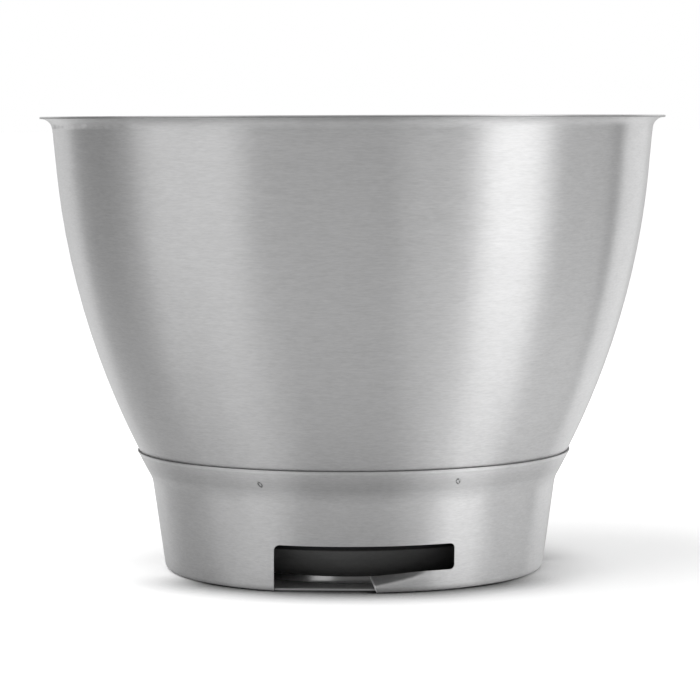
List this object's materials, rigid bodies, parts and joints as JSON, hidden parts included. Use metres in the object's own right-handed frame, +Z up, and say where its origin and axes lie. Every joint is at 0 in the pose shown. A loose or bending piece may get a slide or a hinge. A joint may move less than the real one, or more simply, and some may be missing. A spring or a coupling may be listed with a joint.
{
  "type": "stand mixer bowl",
  "caption": "Deep round steel mixing bowl with a flared rim, welded into a tapered foot ring whose bayonet slots lock it to a stand mixer.",
  "frame": {"origin": "centre of the foot, on the surface that the bowl stands on", "axes": "+Z up along the bowl's axis; -Y is the front, where the picture shows a bayonet slot"},
  "size_m": [0.236, 0.236, 0.1714],
  "materials": {
    "bowl_steel": "brushed round the bowl",
    "ring_steel": "brushed round the ring"
  },
  "bodies": {
    "root": {"bowl_shell": "bowl_steel", "foot_ring": "ring_steel"}
  },
  "joints": []
}
